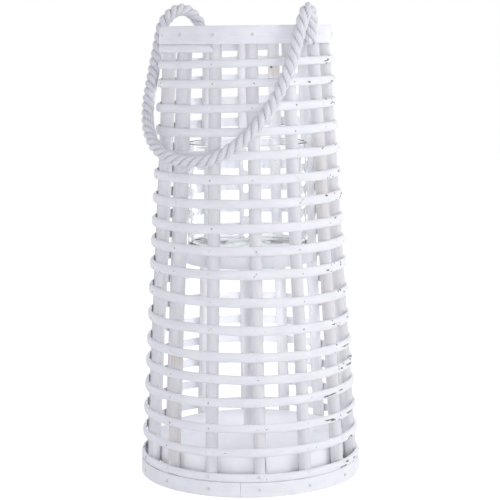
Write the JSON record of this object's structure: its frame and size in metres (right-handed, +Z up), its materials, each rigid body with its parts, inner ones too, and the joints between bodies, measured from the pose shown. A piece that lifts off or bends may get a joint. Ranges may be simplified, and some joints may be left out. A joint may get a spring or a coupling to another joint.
{
  "type": "candle lantern",
  "caption": "Tapered lantern cage of white-painted willow rods and hoops, with a clear glass cylinder on an inner shelf and a twisted rope carrying handle.",
  "frame": {"origin": "on the surface that the lantern stands on, on the axis of the cage", "axes": "+Z up the cage's axis, -Y towards the front, +X to the viewer's right"},
  "size_m": [0.2264, 0.2264, 0.477],
  "materials": {
    "painted_willow": "matt white paint, worn",
    "painted_board": "matt white paint",
    "rope": "twisted white cord",
    "glass": "clear, faint green in the thick base",
    "nail_steel": "dull"
  },
  "bodies": {
    "cage": {"base_board": "painted_board", "base_band": "painted_willow", "rim_band_outer": "painted_willow", "rim_band_inner": "painted_willow", "under_rim_rod": "painted_willow", "shelf_post": "painted_willow", "shelf": "painted_board", "upright_01": "painted_willow", "upright_02": "painted_willow", "upright_03": "painted_willow", "upright_04": "painted_willow", "upright_05": "painted_willow", "upright_06": "painted_willow", "upright_07": "painted_willow", "upright_08": "painted_willow", "upright_09": "painted_willow", "upright_10": "painted_willow", "upright_11": "painted_willow", "upright_12": "painted_willow", "upright_13": "painted_willow", "upright_14": "painted_willow", "hoop_01": "painted_willow", "hoop_02": "painted_willow", "hoop_03": "painted_willow", "hoop_04": "painted_willow", "hoop_05": "painted_willow", "hoop_06": "painted_willow", "hoop_07": "painted_willow", "hoop_08": "painted_willow", "hoop_09": "painted_willow", "hoop_10": "painted_willow", "hoop_11": "painted_willow", "hoop_12": "painted_willow", "hoop_13": "painted_willow", "hoop_14": "painted_willow", "hoop_15": "painted_willow", "hoop_16": "painted_willow", "hoop_17": "painted_willow", "hoop_18": "painted_willow", "rim_nails": "nail_steel", "band_nails": "nail_steel", "board_nails": "nail_steel", "rope_nails": "nail_steel", "post_screws": "nail_steel", "rope_end_right": "rope", "rope_bend_right": "rope", "rope_bend_left": "rope", "rope_end_left": "rope"},
    "glass": {"hurricane_glass": "glass"},
    "handle": {"rope_handle": "rope"}
  },
  "joints": [
    {"name": "handle_swing", "type": "hinge", "parent": "cage", "child": "handle", "pos_m": [0.06106, -0.07198, 0.469], "axis": [-0.6879, 0.7258, 0.0054], "range_deg": [0, 175], "deforming": ["rope_bend_right", "rope_bend_left"]},
    {"name": "glass_lift", "type": "slide", "parent": "cage", "child": "glass", "axis": [0, 0, 1], "range_m": [0, 0.228]}
  ]
}
